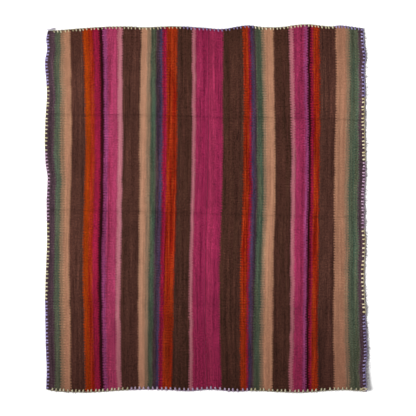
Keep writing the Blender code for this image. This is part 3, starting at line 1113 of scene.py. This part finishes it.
def plies(path, at, spread, squash, turn, phase):
    """Centre lines of two plies wound round a path; spread may change along it."""
    tangent = np.gradient(path, axis=0)
    tangent /= np.linalg.norm(tangent, axis=1)[:, None]
    up = np.array([0.0, 0.0, 1.0])
    side = np.cross(tangent, up)
    size = np.linalg.norm(side, axis=1)
    # Where the path runs steeply, the side it had before is kept.
    for index in range(len(side)):
        if size[index] < STEEP:
            side[index] = side[index - 1] if index else np.array([1.0, 0.0, 0.0])
        else:
            side[index] /= size[index]
    lift = np.cross(side, tangent)
    spread = np.broadcast_to(spread, at.shape)[:, None]
    squash = np.broadcast_to(squash, at.shape)[:, None]
    lines = []
    for half in (0.0, math.pi):
        angle = (at / turn * 2 * math.pi + phase + half)[:, None]
        lines.append(path + side * np.cos(angle) * spread + lift * np.sin(angle) * squash)
    return lines


print("yarn paths ready")

# %% [markdown]
# Many strands share one curve object, and its bevel makes each of them round. A curve
# is light to build, and `settled` turns the finished one into a plain mesh.

# %% Curves of yarn


def add_spline(curve, line, thickness=1.0, paint=0):
    """One round strand; thickness is a share of the curve's radius, at each point or over all."""
    spline = curve.splines.new("POLY")
    spline.points.add(len(line) - 1)
    points = np.ones((len(line), 4))
    points[:, :3] = (line + ORIGIN_SHIFT) * MM
    spline.points.foreach_set("co", points.ravel())
    spline.points.foreach_set("radius", np.broadcast_to(thickness, len(line)).astype(float))
    spline.material_index = paint


def new_curve(name, radius, paints, resolution=1):
    """An empty curve; its materials come first, because each strand picks one of them."""
    curve = bpy.data.curves.new(name, "CURVE")
    for paint in paints:
        curve.materials.append(paint)
    curve.dimensions = "3D"
    curve.bevel_depth = radius * MM
    curve.bevel_resolution = resolution
    curve.use_fill_caps = True
    return curve


def curve_piece(curve):
    """Turn a curve into a mesh piece."""
    piece = settled(placed(curve.name, curve))
    bpy.data.curves.remove(curve)
    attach(piece, "root")
    return piece


print("curve helpers ready")

# %% [markdown]
# A leg's path: each row is the place as a share of its reach, negative over the cloth
# and positive beyond the rim, the height above the floor, and the yarn's thickness as
# a share. The rope's strands are sized by side; `drawn` is how far a leg pulls the rope
# in, and `wrap` how far the leg bends round it.

# %% Sizes of leg and rope
LegPoint = namedtuple("LegPoint", "share height size")
LEG = [
    LegPoint(-1.00, 3.8, 0.60),
    LegPoint(-0.92, 5.6, 0.85),
    LegPoint(-0.70, 6.2, 1.00),
    LegPoint(-0.30, 6.4, 1.00),
    LegPoint(-0.12, 6.3, 1.00),
    LegPoint(0.00, 6.1, 0.90),
    LegPoint(0.75, 5.4, 0.85),
    LegPoint(1.00, 4.0, 0.70),
    LegPoint(1.00, 2.5, 0.55),
    LegPoint(-0.08, 1.65, 0.44),
    LegPoint(-0.55, 1.60, 0.42),
    LegPoint(-0.90, 1.65, 0.42),
    LegPoint(-1.00, 2.60, 0.42),
]
LEG_TOP_ROWS = 6
LEG_PLY = 1.9
LEG_TWIST = 11.0
ROPE_TWIST = 9.0
RopeSize = namedtuple("RopeSize", "out ply spread height drawn wrap")
ROPE_SIZES = {
    "left": RopeSize(1.80, 0.84, 0.70, 4.4, 0.50, 0.4),
    "right": RopeSize(2.10, 1.02, 0.90, 4.8, 0.45, 0.5),
    "top": RopeSize(1.80, 0.72, 0.60, 4.4, 1.00, 2.7),
    "bottom": RopeSize(3.05, 1.10, 0.95, 4.6, 0.50, 0.8),
}
# On the sides the rope runs on past the corner, and on the ends it stops short of it.
ROPE_REACH = {"left": 3.0, "right": 3.0, "top": -1.0, "bottom": -1.0}
CORNER_CLEAR = {"left": 4.0, "right": 4.0, "top": 9.0, "bottom": 9.0}
NEAR_CORNER = 20.0
print("rows of a leg:", len(LEG), "rope sizes:", list(ROPE_SIZES))

# %% One leg


def stitch_leg(run, place, chance):
    """Path of one leg and its thickness, up through the cloth, over the rim and back below."""
    reach = run.reach + chance.uniform(-1.5, 1.2)
    lean = run.lean + chance.uniform(-1.1, 1.1)
    under = chance.uniform(-1.0, 1.0)
    rows = []
    for index, point in enumerate(LEG):
        inward = max(0.0, -point.share)
        drift = (lean if index < LEG_TOP_ROWS else under) * inward
        out = point.share * (reach if point.share < 0 else ROPE_SIZES[run.side].wrap)
        rows.append((place + drift, out, point.height, point.size))
    rows = np.array(rows)
    path = rim_points(run.side, rows[:, 0], rows[:, 1], rows[:, 2])
    return np.column_stack([path, rows[:, 3]])


print("leg reaches:", sorted({run.reach for run in RUNS}), "mm")

# %% Rope of one run


def rope_path(run, start, end, pitch):
    """The rope along the rim, drawn in a little at every leg."""
    size = ROPE_SIZES[run.side]
    at = np.linspace(start, end, int(abs(end - start) / 2.0) + 2)
    wave = np.cos((at - start) / pitch * 2 * math.pi)
    out = size.out - size.drawn * (1.0 + wave)
    return rim_points(run.side, at, out, size.height - 0.3 * wave)


def run_ends(run):
    """Where the run's rope starts and stops, which at a corner follows ROPE_REACH."""
    line = RIMS[run.side][:, 0]
    ends = []
    for place in (run.start, run.end):
        corner = line[np.argmin(np.abs(line[[0, -1]] - place)) * -1]
        if abs(place - corner) > NEAR_CORNER:
            ends.append(place)
        else:
            ends.append(corner + math.copysign(ROPE_REACH[run.side], corner))
    return ends


def add_rope(curve, run, start, end, pitch, chance):
    size = ROPE_SIZES[run.side]
    rope = rope_path(run, start, end, pitch)
    squash = size.spread * 0.85
    phase = chance.uniform(0, 6)
    for line in plies(rope, travelled(rope), size.spread, squash, ROPE_TWIST, phase):
        add_spline(curve, line, size.ply / LEG_PLY, paint=1)


print("ends of the first run:", [round(float(place), 1) for place in run_ends(RUNS[0])])

# %% All the runs


def edging(run, seed):
    chance = random.Random(seed)
    start, end = run_ends(run)
    pitch = (end - start) / run.stitches
    dye = YARNS[run.yarn]
    # The rope is a darker copy of the leg's yarn, partly painted shade.
    paints = [
        yarn_material("leg_" + run.name, dye, run.leg),
        yarn_material("rope_" + run.name, dye, run.rope),
    ]
    curve = new_curve("yarn_" + run.name, LEG_PLY, paints)
    add_rope(curve, run, start, end, pitch, chance)
    line = RIMS[run.side][:, 0]
    for number in range(run.stitches):
        place = start + (number + 0.5) * pitch + chance.uniform(-0.16, 0.16) * abs(pitch)
        if min(abs(place - line[0]), abs(place - line[-1])) < CORNER_CLEAR[run.side]:
            continue
        rows, along = smooth_path(stitch_leg(run, place, chance), 1.7)
        size = rows[:, 3] * run.plump * chance.uniform(0.84, 1.14)
        phase = chance.uniform(0, 2 * math.pi)
        for ply in plies(rows[:, :3], along, 1.6 * size, 0.3 * size, LEG_TWIST, phase):
            add_spline(curve, ply, size)
    return curve_piece(curve)


EDGING_PIECES = {}
for number, run in enumerate(RUNS):
    piece = edging(run, 40 + number)
    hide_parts("edging_" + run.name)
    EDGING_PIECES[run.name] = piece
print("edging triangles:", sum(triangles(piece) for piece in EDGING_PIECES.values()))

# %% [markdown]
# ## The centre seam
# The two selvedges are drawn together with short close oversewn stitches of thin
# magenta yarn, which nearly vanish in the stripe. They are real strands and not a
# pattern, because from a low angle they stand out from the cloth.

# %% Seam stitches
SEAM_PITCH = 3.2
SEAM_REACH = 2.4
SEAM_LEAN = 1.1
SEAM_YARN_RADIUS = 0.75
SEAM_END_GAP = 10
SeamPoint = namedtuple("SeamPoint", "share height")
SEAM_STITCH = [
    SeamPoint(-1.00, 1.3),
    SeamPoint(-0.80, 2.4),
    SeamPoint(0.00, 2.75),
    SeamPoint(0.80, 2.4),
    SeamPoint(1.00, 1.3),
]


def seam_stitches():
    chance = np.random.default_rng(7)
    curve = new_curve("seam_stitches", SEAM_YARN_RADIUS, [SEAM_MATERIAL])
    first, last = TOP_MEAN - SEAM_END_GAP, BOTTOM_MEAN + SEAM_END_GAP
    count = int((first - last) / SEAM_PITCH)
    middles = np.linspace(first, last, count)
    rows = []
    for point in SEAM_STITCH:
        level = middles + SEAM_LEAN * point.share + chance.uniform(-0.3, 0.3, count)
        x, y = lay("left", np.full(count, LOOM_SEAM), level)
        z = underside(x, y, level, np.minimum(TOP_MEAN - level, level - BOTTOM_MEAN))
        rows.append(np.stack([x + SEAM_REACH * point.share, y, z + point.height], axis=-1))
    for stitch in np.stack(rows, axis=1):
        path, _ = smooth_path(stitch, 1.3)
        add_spline(curve, path, chance.uniform(0.9, 1.15))
    return curve_piece(curve)


SEAM = seam_stitches()
print(SEAM.name, triangles(SEAM), "triangles")

# %% [markdown]
# ## Loose fibres and ends
# Short wool hairs stand out all round the rim, most on the right. A particle system
# could grow them, but it isn't a mesh that can be kept, so each is a thin curved
# strand, with as few faces as will show.

# %% Rim hairs
HAIR_RADIUS = 0.13
HAIR_ROWS = 5
Hairs = namedtuple("Hairs", "side count shortest longest thickness")
HAIRS = [
    Hairs("left", 150, 4, 9, 1.0),
    Hairs("right", 1250, 5, 24, 1.9),
    Hairs("top", 380, 4, 9, 1.0),
    Hairs("bottom", 640, 4, 14, 1.5),
]


def hair_line(side, along, length, chance):
    """One curled hair that starts on the rope and leans outward and down."""
    turn = chance.uniform(-1.1, 1.1)
    bend = chance.uniform(-0.9, 0.9)
    out = ROPE_WIDTH[side] - chance.uniform(0.5, 2.5)
    height = chance.uniform(2.5, 6.0)
    rows = []
    step = length / (HAIR_ROWS - 1)
    for _ in range(HAIR_ROWS):
        rows.append((along, out, height))
        along += math.sin(turn) * step
        out += math.cos(turn) * step
        turn += bend / 2
        height = max(0.6, height - chance.uniform(0.2, 1.2))
    rows = np.array(rows)
    return rim_points(side, rows[:, 0], rows[:, 1], rows[:, 2])


def rim_hairs():
    chance = random.Random(11)
    curve = new_curve("rim_hairs", HAIR_RADIUS, [HAIR_MATERIAL], resolution=0)
    for hairs in HAIRS:
        line = RIMS[hairs.side][:, 0]
        for _ in range(hairs.count):
            along = chance.uniform(line[0] + 3, line[-1] - 3)
            length = hairs.shortest + (hairs.longest - hairs.shortest) * chance.random() ** 2
            add_spline(curve, hair_line(hairs.side, along, length, chance), hairs.thickness)
    return curve_piece(curve)


HAIR_PIECE = rim_hairs()
print(HAIR_PIECE.name, triangles(HAIR_PIECE), "triangles")

# %% [markdown]
# A wisp has been pulled out at the upper right, and a pale lock of wool lies at the
# upper left corner. Both are bundles of strands that wander about one line.

# %% Wisp and tuft
STRAND_ROWS = 6


def tuft(name, start, end, count, spread, radius, paint, seed):
    """A loose lock of fibres from one floor point to another, both with a height."""
    chance = np.random.default_rng(seed)
    curve = new_curve(name, radius, [paint], resolution=0)
    start, end = np.array(start, float), np.array(end, float)
    for _ in range(count):
        share = np.linspace(0.0, chance.uniform(0.5, 1.0), STRAND_ROWS)[:, None]
        wander = chance.normal(0.0, spread, (STRAND_ROWS, 3)) * (0.4 + share)
        line = start + (end - start) * share + wander
        line[:, 2] = np.maximum(0.5, line[:, 2])
        add_spline(curve, line)
    return curve_piece(curve)


WISP = tuft(
    "wisp", (745, 532, 5.0), (774, 540, 1.5),
    count=6, spread=2.6, radius=HAIR_RADIUS, paint=HAIR_MATERIAL, seed=3,
)
TUFT_MATERIAL = yarn_material("tuft_wool", YARNS["lilac_white"])
TUFT = tuft(
    "corner_tuft", (-746, 840, 5.5), (-706, 845, 5.5),
    count=70, spread=2.1, radius=0.42, paint=TUFT_MATERIAL, seed=5,
)
print(WISP.name, TUFT.name, triangles(WISP) + triangles(TUFT), "triangles")

# %% [markdown]
# The edging's last end is tied in a loop on the raised corner, and one dark warp yarn
# stands proud of the right panel's brown stripe. Both are plied like the edging.

# %% Knot and proud yarn
KNOT_MIDDLE = (738.0, -841.5)
KNOT_HALF_SIZE = (11.5, 5.2)
KNOT_HEIGHT = 7.2
KNOT_ROW = -852.0
PROUD_LOOM = 142.5
PROUD_POINTS = 9
WELL_INSIDE = 400.0


def plied_line(name, points, ply, spread, turn, paint):
    """A length of two-ply yarn through the given floor points with heights."""
    curve = new_curve(name, ply, [paint])
    path, at = smooth_path(points, 1.4)
    for line in plies(path, at, spread, spread * 0.6, turn, 0.4):
        add_spline(curve, line)
    return curve_piece(curve)


def knot_points():
    """An oval loop of yarn on the raised corner, with a short tail."""
    rows = []
    for degrees in range(-30, 331, 24):
        angle = math.radians(degrees)
        x = KNOT_MIDDLE[0] + KNOT_HALF_SIZE[0] * math.cos(angle)
        y = KNOT_MIDDLE[1] + KNOT_HALF_SIZE[1] * math.sin(angle)
        height = underside(x, KNOT_ROW, KNOT_ROW, np.array([2.0]))[0] + KNOT_HEIGHT
        rows.append((x, y, height + 0.8 * math.sin(angle / 2)))
    x, y, height = rows[-1]
    rows.append((x + 3.0, y + 2.5, height))
    rows.append((x + 4.5, y + 7.5, height - 0.5))
    return rows


def proud_points():
    """The dark warp yarn that lies on the right panel's brown stripe."""
    middles = np.linspace(374, 327, PROUD_POINTS)
    x, y = lay("right", PROUD_LOOM + 1.2 * np.sin(middles / 14), middles)
    z = underside(x, y, middles, np.full(PROUD_POINTS, WELL_INSIDE)) + CLOTH_THICKNESS
    rise = 0.9 * np.sin(np.linspace(0.15, math.pi - 0.15, PROUD_POINTS))
    return np.stack([x, y, z + rise - 0.4], axis=-1)


KNOT_MATERIAL = yarn_material("knot_yarn", YARNS["yellow_warm"], 0.85)
PROUD_MATERIAL = yarn_material("dark_yarn", Dye((48, 24, 22), (40, 20, 20)))
KNOT = plied_line("corner_knot", knot_points(), 1.35, 1.0, 10.0, KNOT_MATERIAL)
PROUD = plied_line("proud_yarn", proud_points(), 0.9, 0.8, 7.0, PROUD_MATERIAL)
print(KNOT.name, PROUD.name, triangles(KNOT) + triangles(PROUD), "triangles")

# %% [markdown]
# ## Floor, light and camera
# The floor is a plain white sweep. One broad soft light stands far off at the left,
# aimed above the middle, so the lower end is darker and the raised corner throws a
# soft shadow to the right. The camera looks straight down from 6 metres, so far off
# that the blanket's sides look parallel.

# %% Sizes of the stage
FLOOR_HALF = 6.0
FLOOR_WHITE = (0.985, 0.985, 0.985, 1.0)
SKY_STRENGTH = 0.45
LAMP_PLACE = (-6.8, -0.4, 5.9)
LAMP_TARGET = (0.0, 0.25, 0.0)
LAMP_CONE_DEGREES = 26.8
LAMP_RADIUS = 2.2
LAMP_POWER = 10650
CAMERA_PLACE = (0.0099, 0.0019, 6.0)
VIEW_WIDTH = 1.951
print("camera:", CAMERA_PLACE, "sees", VIEW_WIDTH, "m of floor")

# %% Floor


def floor():
    bm = bmesh.new()
    bmesh.ops.create_grid(bm, x_segments=1, y_segments=1, size=FLOOR_HALF)
    mesh = bpy.data.meshes.new("floor")
    bm.to_mesh(mesh)
    bm.free()
    made = placed("floor", mesh)
    paint = bpy.data.materials.new("white_floor")
    paint.use_nodes = True
    shader = paint.node_tree.nodes["Principled BSDF"]
    shader.inputs["Base Color"].default_value = FLOOR_WHITE
    shader.inputs["Roughness"].default_value = 0.9
    shader.inputs["Specular IOR Level"].default_value = 0.0
    mesh.materials.append(paint)


floor()
print("floor:", 2 * FLOOR_HALF, "m wide")

# %% Lights and camera


def aimed(thing, target):
    """Turn a lamp, which shines down its own z axis, towards a point."""
    from_here = np.array(target) - np.array(thing.location)
    flat = math.hypot(from_here[0], from_here[1])
    thing.rotation_euler = (
        math.atan2(flat, -from_here[2]),
        0.0,
        math.atan2(from_here[1], from_here[0]) - math.pi / 2,
    )


def lights():
    world = bpy.data.worlds.new("studio")
    bpy.context.scene.world = world
    world.use_nodes = True
    background = world.node_tree.nodes["Background"]
    background.inputs["Color"].default_value = (1.0, 1.0, 1.0, 1.0)
    background.inputs["Strength"].default_value = SKY_STRENGTH
    key = bpy.data.lights.new("key", "SPOT")
    key.spot_size = math.radians(LAMP_CONE_DEGREES)
    key.spot_blend = 1.0
    key.shadow_soft_size = LAMP_RADIUS
    key.energy = LAMP_POWER
    lamp = placed("key", key)
    lamp.location = LAMP_PLACE
    aimed(lamp, LAMP_TARGET)


def camera():
    data = bpy.data.cameras.new("camera")
    data.sensor_width = 36.0
    data.lens = data.sensor_width * CAMERA_PLACE[2] / VIEW_WIDTH
    data.clip_end = 50.0
    made = placed("camera", data)
    made.location = CAMERA_PLACE
    bpy.context.scene.camera = made


lights()
camera()
bpy.context.scene.view_settings.view_transform = "Standard"
print("lamp:", LAMP_PLACE, "power:", LAMP_POWER)
